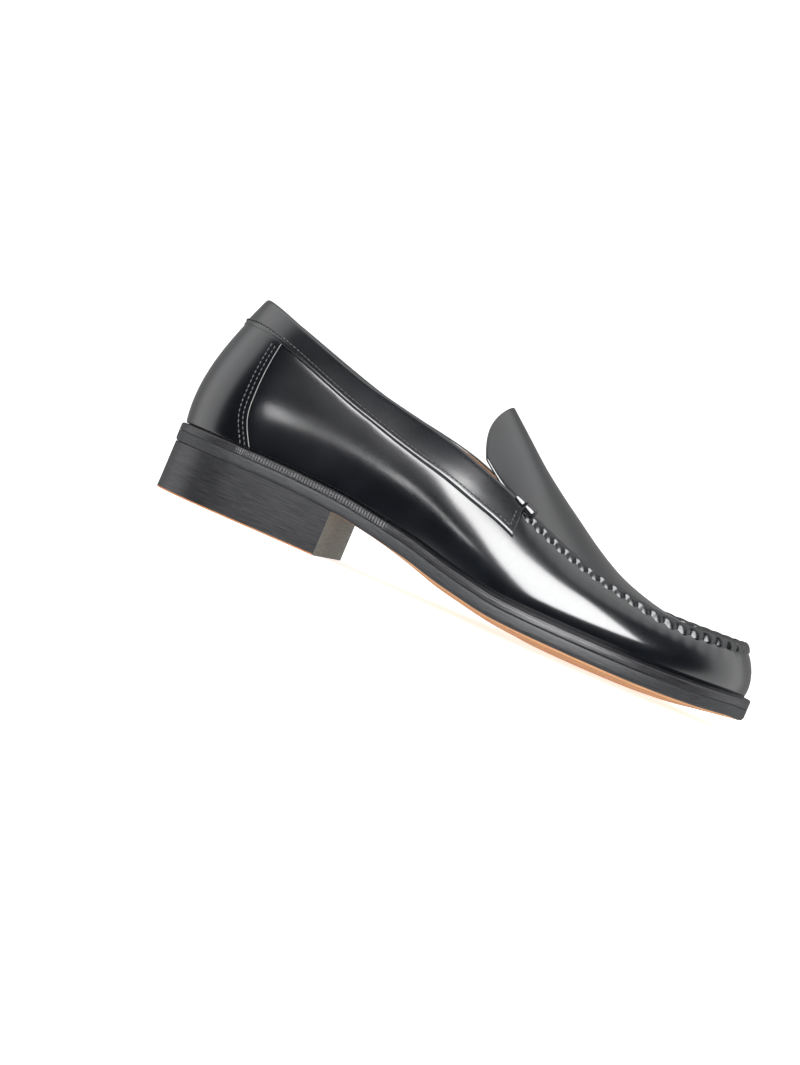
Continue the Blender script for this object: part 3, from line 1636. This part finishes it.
# ---------------------------------------------------------------------------- studio
@dataclass
class Studio:
    """Floor, world, softboxes and the camera."""

    form: Form
    right: tuple = (0.9074089, 0.1510286, 0.3921727)
    up: tuple = (-0.3884840, -0.0544557, 0.9198450)
    back: tuple = (0.1602789, -0.9870283, 0.0092586)
    stand: tuple = (228.3 * MM, -687.4 * MM, 31.2 * MM)
    middle: tuple = (137.0 * MM, -26.0 * MM, 59.0 * MM)
    lens: float = 50.0
    white: float = 1.3
    wall_glow: float = 2.3
    floor_half: float = 6.0
    floor_glow: float = 0.65
    walls: tuple = ((0.0, 0.10), (1.0, 0.01), (0.2, 0.22), (0.36, 0.72), (0.5, 1.0), (0.64, 0.95),
                    (0.72, 0.5), (0.79, 0.03))
    boxes: tuple = (("softbox", (0.060, 0.172, 0.45), (0.41, 0.49), 22.0, True),
                    ("window", (-0.277, 0.140, 0.45), (0.018, 0.055), 26.0, True),
                    ("key", (-0.1, 0.9, 0.9), (0.8, 0.5), 4.0, False))

    def turn(self) -> Matrix:
        """The camera's turn, which the softboxes share."""
        return Matrix((self.right, self.up, self.back)).transposed().to_4x4()

    def camera(self) -> None:
        """Camera at the shoe's outer side, rolled so that the toe points down to the right."""
        camera = bpy.data.objects.new("camera", bpy.data.cameras.new("camera"))
        camera.data.lens = self.lens
        camera.data.sensor_width = 36.0
        camera.data.clip_start = 0.01
        turn = self.turn()
        turn.translation = self.form.place(np.array(self.stand))
        camera.matrix_world = turn
        bpy.context.scene.collection.objects.link(camera)
        bpy.context.scene.camera = camera

    def floor(self) -> None:
        """Plain pale floor."""
        bm = bmesh.new()
        bmesh.ops.create_grid(bm, x_segments=1, y_segments=1, size=self.floor_half)
        floor = finish_mesh("floor", bm, smooth=False)
        g = Graph("pale_floor")
        g.set(Base_Color=(0.92, 0.92, 0.92, 1.0), Roughness=0.6, Specular_IOR_Level=0.2,
              Emission_Color=(1.0, 1.0, 1.0, 1.0), Emission_Strength=self.floor_glow)
        floor.data.materials.append(g.material)
        floor.visible_glossy = False

    def softbox(self, name: str, place: tuple[float, float, float], size: tuple[float, float],
                glow: float, in_gloss: bool) -> None:
        """Area light that faces back towards the shoe.

        Args:
            name: Its name.
            place: Where it hangs, along the camera's right, up and back from the shoe's middle.
            size: Width and height.
            glow: How bright its face is beside a white wall.
            in_gloss: Whether it only shows in the gloss, or only lights what is matt.
        """
        light = bpy.data.lights.new(name, "AREA")
        light.shape = "RECTANGLE"
        light.size, light.size_y = size
        light.energy = glow * math.pi * size[0] * size[1]
        lamp = bpy.data.objects.new(name, light)
        turn = self.turn()
        turn.translation = self.form.place(np.array(self.middle)) + turn @ Vector(place)
        lamp.matrix_world = turn
        lamp.visible_camera = False
        lamp.visible_diffuse = not in_gloss
        lamp.visible_glossy = in_gloss
        bpy.context.scene.collection.objects.link(lamp)

    def world(self) -> None:
        """White surround that the gloss sees behind and beside the shoe, dark in front of it."""
        world = bpy.data.worlds.new("studio")
        world.use_nodes = True
        nodes, links = world.node_tree.nodes, world.node_tree.links
        facing = nodes.new("ShaderNodeVectorMath")
        facing.operation = "DOT_PRODUCT"
        facing.inputs[1].default_value = self.back
        links.new(nodes.new("ShaderNodeTexCoord").outputs["Generated"], facing.inputs[0])
        walls = nodes.new("ShaderNodeFloatCurve")
        curve = walls.mapping.curves[0]
        for place, point in enumerate(self.walls):
            if place < 2:
                curve.points[place].location = point
            else:
                curve.points.new(*point)
        walls.mapping.update()
        share = nodes.new("ShaderNodeMapRange")
        share.inputs["From Min"].default_value = -1.0
        links.new(facing.outputs["Value"], share.inputs["Value"])
        links.new(share.outputs["Result"], walls.inputs["Value"])
        glow = nodes.new("ShaderNodeMath")
        glow.operation = "MULTIPLY"
        glow.inputs[1].default_value = self.wall_glow
        links.new(walls.outputs["Value"], glow.inputs[0])
        ray = nodes.new("ShaderNodeLightPath")
        strength = nodes.new("ShaderNodeMix")
        strength.inputs["A"].default_value = self.white
        links.new(ray.outputs["Is Glossy Ray"], strength.inputs["Factor"])
        links.new(glow.outputs["Value"], strength.inputs["B"])
        links.new(strength.outputs["Result"], nodes["Background"].inputs["Strength"])
        nodes["Background"].inputs["Color"].default_value = (1, 1, 1, 1)
        bpy.context.scene.world = world
        bpy.context.scene.view_settings.view_transform = "Standard"

    def build(self) -> None:
        """Set the studio up."""
        self.camera()
        self.floor()
        self.world()
        for box in self.boxes:
            self.softbox(*box)


def main() -> None:
    """Build the shoe, then the studio round it."""
    logging.basicConfig(level=logging.INFO, format="%(name)s: %(message)s")
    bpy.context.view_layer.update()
    form = Form()
    finishes = Finishes()
    Studio(form).build()
    Bottom(form, finishes).build()
    Upper(form, finishes).build()
    dress_inner_nodes(finishes)
    bpy.context.view_layer.update()


if __name__ == "__main__":
    main()
